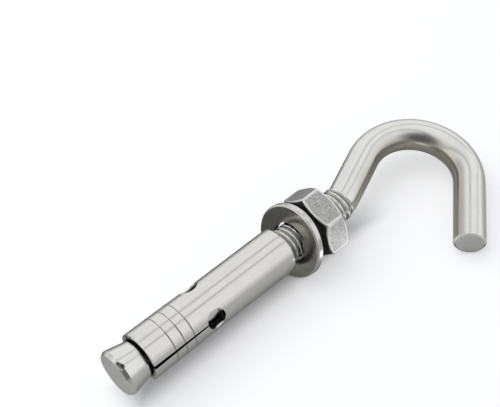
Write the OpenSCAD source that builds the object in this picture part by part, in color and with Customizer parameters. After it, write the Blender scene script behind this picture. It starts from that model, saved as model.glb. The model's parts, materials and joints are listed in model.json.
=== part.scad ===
// Hook wall anchor: a hook bolt with a conical plug, its split expansion sleeve, a flat washer and a hexagon nut.
// The bolt is laid out along X from the plug's end face, with the hook in the XY plane.
// Angles round the bolt are counted from +Y towards +Z.
// The whole anchor is then turned to lie on its washer, its nut and the end of its hook.

/* [Hook] */
// Diameter of the hook's round wire
wire_d = 9; // [8.5:0.1:9]
// Centre-line radius of the bend that takes the wire off the bolt's axis
neck_bend_r = 12.5; // [10:0.5:20]
// Angle of that bend, in degrees
neck_angle = 22.6; // [15:0.1:30]
// Straight run of wire between the two bends
neck_len = 14.5; // [10:0.1:20]
// Centre-line radius of the crook
crook_r = 15.4; // [12:0.1:20]
// Angle of the crook, in degrees
crook_angle = 161; // [145:0.1:170]
// Straight length of the hook's tip
tip_len = 20.6; // [12:0.1:26]
// Chamfer round the end of the tip
tip_chamfer = 0.4; // [0.2:0.1:1]

/* [Thread] */
// Mean diameter of the thread, drawn as a plain cylinder
thread_d = 9.1; // [9.05:0.01:9.15]
// Length of the thread
thread_len = 46; // [30:1:60]
// Length of thread that shows past the nut
thread_past_nut = 3.1; // [3.1:0.1:7]
// Plain wire between the thread and the bend
bend_gap = 0.4; // [0.2:0.1:3]
// Length of the cone at each end of the thread
thread_run_out = 0.4; // [0.2:0.1:0.8]

/* [Plug] */
// Largest diameter of the conical plug
plug_d = 13.3; // [12.4:0.1:13.6]
// Diameter of the plug's small end
plug_neck_d = 10.8; // [10.7:0.1:11.2]
// Length of the plug from its end face to its small end
plug_len = 7; // [5:0.1:9]
// Length of the chamfer round the end face
plug_rim_len = 1.1; // [0.5:0.1:1.4]
// Width of the chamfer round the end face
plug_rim_w = 0.6; // [0.3:0.1:0.9]
// Length of the steep shoulder from the small end down to the wire
plug_shoulder_len = 0.9; // [0.5:0.1:1.2]
// Radius of the dent in the rim
nick_r = 1.1; // [0.6:0.1:1.5]
// Depth of the dent below the middle of the rim's chamfer
nick_depth = 0.45; // [0.2:0.05:0.6]
// Place of the dent round the rim, in degrees
nick_angle = 103; // [0:1:359]

/* [Sleeve] */
// Outside diameter of the sleeve
sleeve_d = 13.3; // [13:0.1:14]
// Wall of the sleeve
sleeve_wall = 1.45; // [1.3:0.05:1.6]
// Length of the sleeve
sleeve_len = 48.1; // [40:0.1:60]
// Gap between the plug's small end and the sleeve
sleeve_gap = 0.7; // [0.6:0.1:2]
// Growth of the diameter at the split end, which stands a little open
sleeve_flare = 0.5; // [0:0.1:0.6]
// Chamfer at the sleeve's ends
sleeve_chamfer = 0.3; // [0.1:0.05:0.4]
// Number of slits
slit_count = 3; // [2:1:4]
// Width of a slit
slit_w = 0.45; // [0.3:0.05:0.8]
// Place of the first slit round the sleeve, in degrees
slit_angle = 35; // [0:1:359]
// Distance from the split end to the middle of the holes where the slits stop
slit_len = 20.7; // [16:0.1:26]
// Diameter of those holes
hole_d = 5.7; // [4:0.1:6]
// Width of the seam left by rolling the sheet, in line with the first slit
seam_w = 0.2; // [0.1:0.05:0.4]
// Number of fine ring grooves
groove_count = 3; // [1:1:4]
// Distance from the split end to the first groove
groove_first = 7; // [4:0.1:9]
// Distance from groove to groove
groove_pitch = 3.15; // [2:0.05:3.4]
// Width of a groove
groove_w = 0.3; // [0.2:0.05:0.5]
// Depth of a groove
groove_depth = 0.15; // [0.1:0.05:0.3]

/* [Washer] */
// Outside diameter of the washer
washer_d = 21.2; // [20.4:0.1:22]
// Bore of the washer
washer_bore_d = 11.2; // [11.2:0.1:11.6]
// Thickness of the washer
washer_t = 1.9; // [1.5:0.05:2]
// Rounding of the punched edge on the sleeve's side
washer_round = 0.45; // [0.2:0.05:0.6]
// Lean of the washer on the bolt, top towards the nut, in degrees
washer_lean = 17.2; // [10:0.1:18]
// Distance from the sleeve to the middle of the washer
washer_gap = 4.7; // [4.7:0.1:6]

/* [Nut] */
// Width of the nut across its flats
nut_af = 17.6; // [17:0.1:18.2]
// Height of the nut
nut_h = 7.7; // [7:0.1:8.4]
// Distance from the middle of the washer to the nut
nut_gap = 5.4; // [5.4:0.1:9]
// Diameter where the chamfer meets the nut's end faces
nut_face_d = 16.4; // [15.5:0.1:16.6]
// Angle of that chamfer to the end face, in degrees
nut_chamfer_angle = 32; // [20:1:35]
// Radial clearance of the nut on the thread
nut_clearance = 0.05; // [0.02:0.01:0.1]
// Depth of the countersinks at the ends of the nut's bore
nut_countersink = 0.6; // [0.3:0.1:1]
// Turn of the nut: the place of one of its corners, in degrees
nut_turn = 11; // [0:1:59]

/* [Hidden] */
$fn = 96;
cut_over = 1;
// A straight run enters the bends at its ends by run_overlap, and is thinner by run_relief
run_overlap = 0.5;
run_relief = 0.02;
edge_steps = 6;
path_steps = 48;
settle_steps = 60;
hex_corners = 6;

// Stations along the bolt, from the plug's end face
sleeve_x = plug_len + sleeve_gap;
sleeve_end_x = sleeve_x + sleeve_len;
washer_x = sleeve_end_x + washer_gap;
nut_x = washer_x + nut_gap;
nut_end_x = nut_x + nut_h;
thread_end_x = nut_end_x + thread_past_nut;
thread_start_x = thread_end_x - thread_len;
neck_start_x = thread_end_x + bend_gap;

// Radii
wire_r = wire_d / 2;
run_r = wire_r - run_relief;
thread_r = thread_d / 2;
plug_r = plug_d / 2;
plug_neck_r = plug_neck_d / 2;
sleeve_r = sleeve_d / 2;
sleeve_flare_r = sleeve_r + sleeve_flare / 2;
washer_r = washer_d / 2;
washer_bore_r = washer_bore_d / 2;
nut_corner_r = nut_af / 2 / cos(30);
nut_chamfer_h = (nut_corner_r - nut_face_d / 2) * tan(nut_chamfer_angle);
nut_bore_r = thread_r + nut_clearance;

// A state on the hook's centre line is its place in the plane and its heading: [x, y, heading]
function run(s, length) = [s[0] + length * cos(s[2]), s[1] + length * sin(s[2]), s[2]];
function left(s, r, a) = [
    s[0] + r * (sin(s[2] + a) - sin(s[2])),
    s[1] + r * (cos(s[2]) - cos(s[2] + a)),
    s[2] + a
];
function right(s, r, a) = left(s, -r, -a);

neck_start = [neck_start_x, 0, 0];
neck_end = left(neck_start, neck_bend_r, neck_angle);
crook_start = run(neck_end, neck_len);
crook_end = right(crook_start, crook_r, crook_angle);
tip_end = run(crook_end, tip_len);

// A ring is a circle on the anchor's outside: [centre, axis, radius]
function unit(v) = v / norm(v);
function axis_ring(x, r) = [[x, 0, 0], [1, 0, 0], r];
function wire_ring(s, r) = [[s[0], s[1], 0], [cos(s[2]), sin(s[2]), 0], r];
function steps(n) = [for (i = [0 : n]) i / n];

washer_axis = [cos(washer_lean), 0, -sin(washer_lean)];
washer_rings = [
    [[washer_x, 0, 0] + (washer_round - washer_t / 2) * washer_axis, washer_axis, washer_r],
    [[washer_x, 0, 0] + washer_t / 2 * washer_axis, washer_axis, washer_r]
];
nut_corners = [
    for (x = [nut_x + nut_chamfer_h, nut_end_x - nut_chamfer_h], i = [0 : hex_corners - 1])
        let (a = nut_turn + 360 / hex_corners * i)
            [[x, nut_corner_r * cos(a), nut_corner_r * sin(a)], [1, 0, 0], 0]
];
bend_rings = [
    for (t = steps(path_steps)) wire_ring(left(neck_start, neck_bend_r, neck_angle * t), wire_r),
    for (t = steps(path_steps)) wire_ring(right(crook_start, crook_r, crook_angle * t), wire_r)
];
tip_rings = [
    wire_ring(run(tip_end, -tip_chamfer), run_r),
    wire_ring(tip_end, run_r - tip_chamfer)
];
shaft_rings = [
    axis_ring(0, plug_r - plug_rim_w),
    axis_ring(plug_rim_len, plug_r),
    axis_ring(sleeve_x + sleeve_chamfer, sleeve_flare_r),
    axis_ring(sleeve_end_x - sleeve_chamfer, sleeve_r)
];
all_rings = concat(shaft_rings, washer_rings, nut_corners, bend_rings, tip_rings);

// The point of a ring, or of a set of rings, that lies furthest along d
function ring_point(g, d) =
    let (across = d - (d * g[1]) * g[1])
        norm(across) == 0 ? g[0] : g[0] + g[2] * unit(across);
function furthest(rings, d) =
    let (points = [for (g = rings) ring_point(g, d)], reaches = [for (p = points) p * d])
        points[search(max(reaches), reaches)[0]];

// The upward normal of the plane that touches the washer, the nut and the hook's tip from below
function settle(up, count) =
    count == 0 ? up : settle(resting_normal(furthest(washer_rings, -up), furthest(nut_corners, -up),
                                            furthest(tip_rings, -up)), count - 1);
function resting_normal(a, b, c) =
    let (n = unit(cross(b - a, c - a)))
        n[2] < 0 ? -n : n;

rest_up = settle([0, 0, 1], settle_steps);
rest_roll = atan2(rest_up[1], rest_up[2]);
rest_pitch = -asin(rest_up[0]);

// The lying anchor's own axes, seen from the bolt, and the middle of the floor below it
row_x = [cos(rest_pitch), sin(rest_pitch) * sin(rest_roll), sin(rest_pitch) * cos(rest_roll)];
row_y = [0, cos(rest_roll), -sin(rest_roll)];
function reach(d) = furthest(all_rings, d) * d;
rest_origin = [
    (reach(row_x) - reach(-row_x)) / 2,
    (reach(row_y) - reach(-row_y)) / 2,
    -reach(-rest_up)
];

// Turns what is built along the bolt to where it comes to rest on the floor
module lying() {
    translate(-rest_origin)
        rotate([rest_roll, rest_pitch, 0])
            children();
}

// Spins a profile of [radius, station] points round the bolt
module spun(points) {
    rotate([0, 90, 0])
        rotate_extrude()
            polygon(points);
}

// Places what is built along X, at the origin, on a state of the hook's centre line
module at_state(s) {
    translate([s[0], s[1], 0])
        rotate([0, 0, s[2]])
            children();
}

module neck() {
    at_state(run(neck_end, -run_overlap))
        rotate([0, 90, 0])
            cylinder(h = neck_len + 2 * run_overlap, r = run_r);
}

module wire_bend(r, a) {
    rotate_extrude(angle = a)
        translate([r, 0])
            circle(d = wire_d);
}

module left_bend(s, r, a) {
    at_state(s)
        translate([0, r, 0])
            rotate([0, 0, -90])
                wire_bend(r, a);
}

module right_bend(s, r, a) {
    at_state(s)
        translate([0, -r, 0])
            rotate([0, 0, 90 - a])
                wire_bend(r, a);
}

module shank() {
    spun([
        [0, 0],
        [plug_r - plug_rim_w, 0],
        [plug_r, plug_rim_len],
        [plug_neck_r, plug_len],
        [run_r, plug_len + plug_shoulder_len],
        [run_r, thread_start_x - thread_run_out],
        [thread_r, thread_start_x],
        [thread_r, thread_end_x - thread_run_out],
        [run_r, thread_end_x],
        [run_r, neck_start_x + run_overlap],
        [0, neck_start_x + run_overlap]
    ]);
}

module tip() {
    at_state(crook_end)
        spun([
            [0, -run_overlap],
            [run_r, -run_overlap],
            [run_r, tip_len - tip_chamfer],
            [run_r - tip_chamfer, tip_len],
            [0, tip_len]
        ]);
}

module rim_nick() {
    rotate([nick_angle, 0, 0])
        translate([plug_rim_len / 2, plug_r - plug_rim_w / 2 + nick_r - nick_depth, 0])
            sphere(r = nick_r);
}

module hook_bolt() {
    color("gainsboro")
        lying()
            union() {
                difference() {
                    shank();
                    rim_nick();
                }
                left_bend(neck_start, neck_bend_r, neck_angle);
                neck();
                right_bend(crook_start, crook_r, crook_angle);
                tip();
            }
}

// Outside radius of the sleeve at a distance from its split end
function sleeve_radius(x) = x < slit_len ? sleeve_r + sleeve_flare / 2 * (1 - x / slit_len) : sleeve_r;

function groove_points(x) = [
    [sleeve_radius(x - groove_w / 2), x - groove_w / 2],
    [sleeve_radius(x) - groove_depth, x],
    [sleeve_radius(x + groove_w / 2), x + groove_w / 2]
];

function sleeve_outside() = [
    [sleeve_radius(0) - sleeve_chamfer, 0],
    [sleeve_radius(sleeve_chamfer), sleeve_chamfer],
    for (i = [0 : groove_count - 1]) each groove_points(groove_first + i * groove_pitch),
    [sleeve_r, slit_len],
    [sleeve_r, sleeve_len - sleeve_chamfer],
    [sleeve_r - sleeve_chamfer, sleeve_len]
];

function sleeve_inside() = [
    [sleeve_r - sleeve_wall, sleeve_len],
    [sleeve_r - sleeve_wall, slit_len],
    [sleeve_radius(0) - sleeve_wall, 0]
];

// A straight cut through one wall, along the sleeve from its split end
module wall_cut(angle, width, length) {
    rotate([angle, 0, 0])
        translate([-cut_over, 0, -width / 2])
            cube([length + cut_over, sleeve_flare_r + cut_over, width]);
}

module wall_hole(angle) {
    rotate([angle, 0, 0])
        translate([slit_len, 0, 0])
            rotate([-90, 0, 0])
                cylinder(h = sleeve_flare_r + cut_over, d = hole_d);
}

module sleeve() {
    color("lightgray")
        lying()
            translate([sleeve_x, 0, 0])
                difference() {
                    spun(concat(sleeve_outside(), sleeve_inside()));
                    for (i = [0 : slit_count - 1]) {
                        wall_cut(slit_angle + 360 / slit_count * i, slit_w, slit_len);
                        wall_hole(slit_angle + 360 / slit_count * i);
                    }
                    wall_cut(slit_angle, seam_w, sleeve_len + cut_over);
                }
}

// Points of the quarter round at the edge of the washer's face on the sleeve's side
function washer_edge() = [
    for (t = steps(edge_steps))
        [washer_r - washer_round * (1 - sin(90 * t)), washer_round * (1 - cos(90 * t))]
];

module washer() {
    color("silver")
        lying()
            translate([washer_x, 0, 0])
                rotate([0, washer_lean, 0])
                    translate([-washer_t / 2, 0, 0])
                        spun(concat(
                            [[washer_bore_r, 0]],
                            washer_edge(),
                            [[washer_r, washer_t], [washer_bore_r, washer_t]]
                        ));
}

module nut_prism() {
    rotate([nut_turn, 0, 0])
        rotate([90, 0, 90])
            linear_extrude(height = nut_h)
                circle(r = nut_corner_r, $fn = hex_corners);
}

module nut_envelope() {
    spun([
        [0, 0],
        [nut_face_d / 2, 0],
        [nut_corner_r, nut_chamfer_h],
        [nut_corner_r, nut_h - nut_chamfer_h],
        [nut_face_d / 2, nut_h],
        [0, nut_h]
    ]);
}

module nut_bore() {
    spun([
        [0, -cut_over],
        [nut_bore_r + nut_countersink, -cut_over],
        [nut_bore_r + nut_countersink, 0],
        [nut_bore_r, nut_countersink],
        [nut_bore_r, nut_h - nut_countersink],
        [nut_bore_r + nut_countersink, nut_h],
        [nut_bore_r + nut_countersink, nut_h + cut_over],
        [0, nut_h + cut_over]
    ]);
}

module nut() {
    color("darkgray")
        lying()
            translate([nut_x, 0, 0])
                difference() {
                    intersection() {
                        nut_prism();
                        nut_envelope();
                    }
                    nut_bore();
                }
}

hook_bolt();
sleeve();
washer();
nut();
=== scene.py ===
"""Hook wall anchor: the visible hook bolt, split sleeve, washer and nut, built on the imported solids."""

import json
import math

import bmesh
import bpy
import numpy as np
from mathutils import Euler, Matrix, Vector


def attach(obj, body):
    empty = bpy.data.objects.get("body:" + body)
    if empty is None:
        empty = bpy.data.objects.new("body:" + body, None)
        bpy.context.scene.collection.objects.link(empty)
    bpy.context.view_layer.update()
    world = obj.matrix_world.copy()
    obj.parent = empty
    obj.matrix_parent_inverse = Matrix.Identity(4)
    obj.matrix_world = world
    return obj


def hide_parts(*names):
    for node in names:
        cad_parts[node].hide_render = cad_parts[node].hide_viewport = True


bl_info = {
    "name": "Hook wall anchor",
    "version": (1, 0, 0),
    "blender": (4, 5, 0),
    "location": "View3D > Sidebar > Anchor",
    "description": "Builds a hook bolt with its expansion sleeve, washer and nut",
    "category": "Add Mesh",
}

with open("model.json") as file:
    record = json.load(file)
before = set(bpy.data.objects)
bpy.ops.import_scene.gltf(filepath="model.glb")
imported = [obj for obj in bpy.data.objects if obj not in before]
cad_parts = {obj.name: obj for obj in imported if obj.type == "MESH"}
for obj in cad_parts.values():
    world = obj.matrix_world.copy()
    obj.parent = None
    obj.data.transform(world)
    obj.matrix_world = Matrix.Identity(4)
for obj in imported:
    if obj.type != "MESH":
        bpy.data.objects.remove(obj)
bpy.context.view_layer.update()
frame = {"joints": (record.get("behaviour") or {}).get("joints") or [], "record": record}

MM = 0.001
FULL_TURN = 2 * math.pi
MERGE = 0.001 * MM

# Dim patches of the tent: azimuth, height, inner and outer radius in degrees, level
TENT_PATCHES = (
    (-137, 25, 4, 56, 0.15),
    (-75, -10, 5, 36, 0.7),
    (102, 28, 8, 30, 0.68),
)
# Seams of the tent: angle round the bolt and half width in degrees
TENT_SEAMS = ((107, 6), (69, 6))
SEAM_LEVEL = 0.45

# A painted pool of light and a painted dark patch, standing in for shade, on the floor as reflections see
# it, in millimetres:
# x, y, squeeze along x, inner and outer radius, tone
FLOOR_PATCHES = ((17, -10, 1.0, 4, 13, 0.95), (-18, 42, 0.3, 14, 24, 0.06))
# Glow of the painted pool of light, seen only in reflections
BRIGHT_GLOW = 0.9
# The strip of floor under the bolt that the lift leaves out, a painted shade, in millimetres: half width,
# and x where it fades at its two ends
SHADE_HALF = 8
SHADE_ENDS = ((-52, -64), (12, 34))


# Properties


def length(name, text, millimetres):
    """A size that the user may change, kept in metres."""
    return bpy.props.FloatProperty(
        name=name, description=text, default=millimetres * MM, precision=5, unit="LENGTH"
    )


def angle(name, text, degrees):
    """An angle that the user may change, kept in radians."""
    return bpy.props.FloatProperty(
        name=name, description=text, default=math.radians(degrees), subtype="ANGLE"
    )


def colour(name, text, red, green, blue):
    """A colour that the user may change."""
    return bpy.props.FloatVectorProperty(
        name=name, description=text, default=(red, green, blue), size=3, min=0, max=1, subtype="COLOR"
    )


class BoltSizes(bpy.types.PropertyGroup):
    """Sizes of the hook bolt, counted along it from the plug's end face"""

    wire_d: length("Wire", "Diameter of the hook's round wire", 8.96)
    neck_x: length("Neck", "Station where the wire leaves the bolt's axis", 77.1)
    neck_r: length("Neck bend", "Centre-line radius of the neck bend", 12.5)
    neck_turn: angle("Neck angle", "Angle of the neck bend", 22.6)
    neck_len: length("Neck run", "Straight wire between the two bends", 14.5)
    crook_r: length("Crook", "Centre-line radius of the crook", 15.4)
    crook_turn: angle("Crook angle", "Angle of the crook", 161)
    tip_len: length("Tip", "Straight length of the hook's tip", 20.6)
    tip_chamfer: length("Tip chamfer", "Chamfer round the end of the tip", 0.4)
    thread_x: length("Thread start", "Station where the thread starts", 30.7)
    thread_end: length("Thread end", "Station where the thread ends", 79.4)
    thread_d: length("Thread mean", "Mean diameter of the thread", 9.08)
    thread_depth: length("Thread depth", "Height from root to crest", 0.84)
    pitch: length("Pitch", "Distance from crest to crest", 1.5)
    run_out: length("Run-out", "Length over which the thread fades", 0.5)
    plug_d: length("Plug", "Largest diameter of the conical plug", 13.3)
    plug_neck_d: length("Plug neck", "Diameter of the plug's small end", 10.8)
    plug_len: length("Plug length", "Length of the plug to its small end", 7.0)
    rim_len: length("Rim length", "Length of the chamfer round the end face", 1.1)
    rim_w: length("Rim width", "Width of the chamfer round the end face", 0.6)
    shoulder_len: length("Shoulder", "Length of the shoulder down to the wire", 0.9)
    nick_r: length("Nick", "Radius of the dent in the rim", 1.1)
    nick_depth: length("Nick depth", "Depth of the dent below the middle of the rim", 0.45)
    nick_at: angle("Nick place", "Place of the dent round the rim", 103)


class SleeveSizes(bpy.types.PropertyGroup):
    """Sizes of the split expansion sleeve"""

    start_x: length("Start", "Station of the split end", 7.7)
    diameter: length("Diameter", "Outside diameter", 13.3)
    wall: length("Wall", "Thickness of the sheet", 1.45)
    length: length("Length", "Length of the sleeve", 48.1)
    flare: length("Flare", "Growth of the diameter at the split end", 0.5)
    slit_len: length("Slit", "Distance from the split end to the middle of the holes", 20.7)
    slit_end_w: length("Slit width at the end", "Width of a slit at the split end", 1.0)
    slit_hole_w: length("Slit width at the hole", "Width of a slit where it meets its hole", 0.46)
    slit_at: angle("Slit place", "Place of the first slit round the sleeve", 35)
    hole_d: length("Hole", "Diameter of the holes where the slits stop", 5.7)
    seam_w: length("Seam", "Width of the seam of the rolled sheet", 0.2)
    groove_count: bpy.props.IntProperty(
        name="Grooves", description="Number of ring grooves", default=3, min=1
    )
    groove_x: length("First groove", "Distance from the split end to the first ring groove", 7.0)
    groove_pitch: length("Groove pitch", "Distance from groove to groove", 3.15)
    groove_w: length("Groove width", "Width of a ring groove", 0.34)
    groove_depth: length("Groove depth", "Depth of a ring groove", 0.15)
    edge: length("Edge", "Rounding of the sheet's cut edges", 0.16)


class WasherSizes(bpy.types.PropertyGroup):
    """Sizes of the flat washer"""

    middle_x: length("Middle", "Station of the washer's middle", 60.5)
    diameter: length("Diameter", "Outside diameter", 21.2)
    bore_d: length("Bore", "Diameter of the bore", 11.2)
    thickness: length("Thickness", "Thickness of the sheet", 1.9)
    rounding: length("Rounding", "Rounding of the punched edge", 0.56)
    lean: angle("Lean", "Lean on the bolt, top towards the nut", 17.2)


class NutSizes(bpy.types.PropertyGroup):
    """Sizes of the hexagon nut"""

    start_x: length("Start", "Station of the face on the washer's side", 65.9)
    flats: length("Flats", "Width across the flats", 17.6)
    height: length("Height", "Height of the nut", 7.7)
    face_d: length("Face", "Diameter where the chamfer meets the end faces", 16.4)
    chamfer: angle("Chamfer", "Angle of the chamfer to the end faces", 32)
    bore_d: length("Bore", "Diameter of the bore over the thread's crests", 10.0)
    countersink: length("Countersink", "Depth of the countersink", 0.6)
    corner: length("Corner", "Rounding along the corners", 0.55)
    turn: angle("Turn", "Place of one corner round the bolt", 11)


class SteelFinish(bpy.types.PropertyGroup):
    """Colours of the steel"""

    wire: colour("Wire", "Drawn wire of the hook and the shank", 0.95, 0.95, 0.92)
    cut: colour("Cut", "Sheared end faces", 0.97, 0.955, 0.95)
    sheet: colour("Sheet", "Rolled sheet of the sleeve", 0.92, 0.905, 0.875)
    # The washer's colour is darker than the other steel: partly its own tone, partly painted reflection of
    # dark surroundings
    punched: colour("Washer", "Punched sheet of the washer", 0.62, 0.61, 0.56)
    forged: colour("Nut", "Tumbled steel of the nut", 0.70, 0.70, 0.69)


class StageLook(bpy.types.PropertyGroup):
    """Camera, light and floor"""

    focal: bpy.props.FloatProperty(
        name="Focal length", description="Focal length in picture widths", default=2.364292
    )
    camera_at: bpy.props.FloatVectorProperty(
        name="Camera",
        description="Place of the camera, seen from the bolt",
        default=(-72.65 * MM, -115.843 * MM, 265.628 * MM),
        precision=5,
        unit="LENGTH",
    )
    camera_turn: bpy.props.FloatVectorProperty(
        name="Camera angles",
        description="Turn of the camera, seen from the bolt",
        default=tuple(math.radians(a) for a in (35.19459, -1.76369, -42.7092)),
        subtype="EULER",
    )
    floor: colour("Floor", "Colour of the floor", 0.90, 0.90, 0.91)
    sky: colour("Light", "Colour of the room's soft light", 0.93, 0.95, 1.0)
    # Painted shade: the floor is darker in reflections than it is to the camera
    below: colour("Floor below", "Colour of the floor in the steel's reflections", 0.62, 0.62, 0.59)
    lift: bpy.props.FloatProperty(
        name="Floor lift", description="Glow that brings the floor up to white for the camera", default=0.45
    )
    room_light: bpy.props.FloatProperty(
        name="Room light", description="Strength of the room's soft light", default=0.4
    )
    lamp_at: bpy.props.FloatVectorProperty(
        name="Lamp", description="Place of the soft box", default=(-0.15, 0.35, 0.75), unit="LENGTH"
    )
    lamp_size: length("Lamp size", "Side of the square soft box", 900)
    lamp_power: bpy.props.FloatProperty(
        name="Lamp power", description="Power of the soft box", default=2.5, unit="POWER"
    )


class AnchorSettings(bpy.types.PropertyGroup):
    """All the settings of the anchor"""

    bolt: bpy.props.PointerProperty(type=BoltSizes)
    sleeve: bpy.props.PointerProperty(type=SleeveSizes)
    washer: bpy.props.PointerProperty(type=WasherSizes)
    nut: bpy.props.PointerProperty(type=NutSizes)
    steel: bpy.props.PointerProperty(type=SteelFinish)
    stage: bpy.props.PointerProperty(type=StageLook)


# Places and profiles


def bolt_place(nut):
    """Placement of the bolt: X along it from the plug's end face, and the hook in its XY plane."""
    turn = next(j for j in frame["joints"] if j["name"] == "nut_turn")
    tip = next(m for m in frame["record"]["mounts"] if m["name"] == "hook_tip")
    along = Vector(turn["axis"]).normalized()
    up = Vector(tip["axis"]).cross(along).normalized()
    side = up.cross(along)
    place = Matrix((along, side, up)).transposed().to_4x4()
    place.translation = Vector(turn["pos_m"]) - along * (nut.start_x + nut.height / 2)
    return place


def rounded(points, reaches, steps=5):
    """A profile whose inner corners are rounded, each by its reach along both sides."""
    points = [np.array(p, float) for p in points]
    profile = [points[0]]
    for before, corner, after, reach in zip(points, points[1:], points[2:], reaches):
        if reach == 0:
            profile.append(corner)
            continue
        start = corner + reach * (before - corner) / np.linalg.norm(before - corner)
        end = corner + reach * (after - corner) / np.linalg.norm(after - corner)
        for t in np.linspace(0, 1, steps):
            profile.append((1 - t) ** 2 * start + 2 * t * (1 - t) * corner + t**2 * end)
    profile.append(points[-1])
    return profile


def filled(profile, spacing):
    """A profile with points added so that no step is longer than spacing(station)."""
    full = [profile[0]]
    for a, b in zip(profile, profile[1:]):
        gap = np.linalg.norm(b - a)
        count = max(1, math.ceil(gap / spacing((a[0] + b[0]) / 2) - 1e-6))
        full += [a + (b - a) * i / count for i in range(1, count + 1)]
    return full


def spread(start, end, step):
    """Evenly spread values from start to end, at most a step apart."""
    return np.linspace(start, end, max(2, math.ceil(abs(end - start) / step) + 1))


def ramp(value, low, high):
    """Zero below low, one above high, and straight between them."""
    return np.clip((value - low) / (high - low), 0, 1)


# Meshes


def new_piece(name, vertices, faces, attributes=None, corner_uv=None):
    """A smooth mesh object in the scene, with its point attributes and its UV map."""
    mesh = bpy.data.meshes.new(name)
    mesh.from_pydata([tuple(v) for v in vertices], [], faces)
    for label, (kind, values) in (attributes or {}).items():
        field = "vector" if kind == "FLOAT_VECTOR" else "value"
        values = np.asarray(values, np.float32).ravel()
        mesh.attributes.new(label, kind, "POINT").data.foreach_set(field, values)
    if corner_uv is not None:
        layer = mesh.uv_layers.new(name="UVMap")
        layer.data.foreach_set("uv", np.asarray(corner_uv, np.float32).ravel())
    mesh.polygons.foreach_set("use_smooth", [True] * len(mesh.polygons))
    mesh.update()
    piece = bpy.data.objects.new(name, mesh)
    bpy.context.scene.collection.objects.link(piece)
    return piece


def settle(piece):
    """Turns a piece and its modifiers into one plain mesh."""
    bpy.context.view_layer.update()
    graph = bpy.context.evaluated_depsgraph_get()
    mesh = bpy.data.meshes.new_from_object(
        piece.evaluated_get(graph), preserve_all_data_layers=True, depsgraph=graph
    )
    piece.modifiers.clear()
    spent, piece.data = piece.data, mesh
    bpy.data.meshes.remove(spent)
    mesh.name = piece.name


def hand_over(piece, place, body, node):
    """Puts a finished mesh where the solid is, and says which solid it stands for."""
    piece.data.transform(place)
    piece.data.update()
    mesh = bmesh.new()
    mesh.from_mesh(piece.data)
    volume = mesh.calc_volume(signed=True)
    open_edges = sum(1 for e in mesh.edges if len(e.link_faces) != 2)
    mesh.free()
    if volume <= 0 or open_edges:
        raise RuntimeError(f"{piece.name} is not a closed, outward skin: {volume}, {open_edges} open edges")
    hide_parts(node)
    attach(piece, body)


def even_normals(piece):
    """Lets large faces keep their own direction beside small roundings."""
    weighted = piece.modifiers.new("Even normals", "WEIGHTED_NORMAL")
    weighted.mode = "FACE_AREA"
    weighted.weight = 100
    weighted.keep_sharp = False


# Node trees

# Sockets of a mix node that hold colours
MIX_ONE, MIX_OTHER, MIX_RESULT = 6, 7, 2
# Where a flank of the thread starts and ends, in pitches from the middle of the root
THREAD_FLANK = (0.1, 0.38)


def feed(tree, socket, value):
    """Links a socket to another, or sets its value."""
    if isinstance(value, bpy.types.NodeSocket):
        tree.links.new(value, socket)
    else:
        socket.default_value = value


def add_node(tree, kind, inputs=None, **settings):
    """A new node with its settings made and its inputs linked or set."""
    node = tree.nodes.new(kind)
    for label, value in settings.items():
        setattr(node, label, value)
    for key, value in (inputs or {}).items():
        feed(tree, node.inputs[key], value)
    return node


def sum_node(tree, operation, *values):
    """A math node's result."""
    return add_node(tree, "ShaderNodeMath", dict(enumerate(values)), operation=operation).outputs[0]


def mapped(tree, value, low, high, to_low=0.0, to_high=1.0, smooth=False):
    """A value carried from one range to another and held inside it."""
    inputs = {"Value": value, "From Min": low, "From Max": high, "To Min": to_low, "To Max": to_high}
    easing = "SMOOTHSTEP" if smooth else "LINEAR"
    return add_node(tree, "ShaderNodeMapRange", inputs, interpolation_type=easing).outputs["Result"]


def blended(tree, amount, one, other):
    """A colour between two."""
    inputs = {"Factor": amount, MIX_ONE: one, MIX_OTHER: other}
    return add_node(tree, "ShaderNodeMix", inputs, data_type="RGBA").outputs[MIX_RESULT]


def axes(tree, vector):
    """The X, Y and Z of a vector."""
    parts = add_node(tree, "ShaderNodeSeparateXYZ", {"Vector": vector})
    return tuple(parts.outputs[axis] for axis in "XYZ")


def shape_tree(name, sizes):
    """A new geometry tree with a mesh, sizes and a material as inputs."""
    tree = bpy.data.node_groups.new(name, "GeometryNodeTree")
    tree.interface.new_socket("Mesh", in_out="INPUT", socket_type="NodeSocketGeometry")
    for label in sizes:
        tree.interface.new_socket(label, in_out="INPUT", socket_type="NodeSocketFloat")
    tree.interface.new_socket("Material", in_out="INPUT", socket_type="NodeSocketMaterial")
    tree.interface.new_socket("Mesh", in_out="OUTPUT", socket_type="NodeSocketGeometry")
    return tree, tree.nodes.new("NodeGroupInput").outputs


def close_tree(tree, geometry, material):
    """Ends a geometry tree with its instances made real and its material set."""
    real = add_node(tree, "GeometryNodeRealizeInstances", {"Geometry": geometry})
    inputs = {"Geometry": real.outputs["Geometry"], "Material": material}
    paint = add_node(tree, "GeometryNodeSetMaterial", inputs)
    add_node(tree, "NodeGroupOutput", {"Mesh": paint.outputs["Geometry"]})


def attribute_node(tree, label, kind="FLOAT"):
    """A named attribute of the mesh inside a geometry tree."""
    node = add_node(tree, "GeometryNodeInputNamedAttribute", {"Name": label}, data_type=kind)
    return node.outputs["Attribute"]


def shape_with(piece, tree, values):
    """Gives a piece a geometry tree and sets its inputs by their identifiers."""
    modifier = piece.modifiers.new(tree.name, "NODES")
    modifier.node_group = tree
    for item in tree.interface.items_tree:
        if item.in_out == "INPUT" and item.name in values:
            modifier[item.identifier] = values[item.name]


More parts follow.
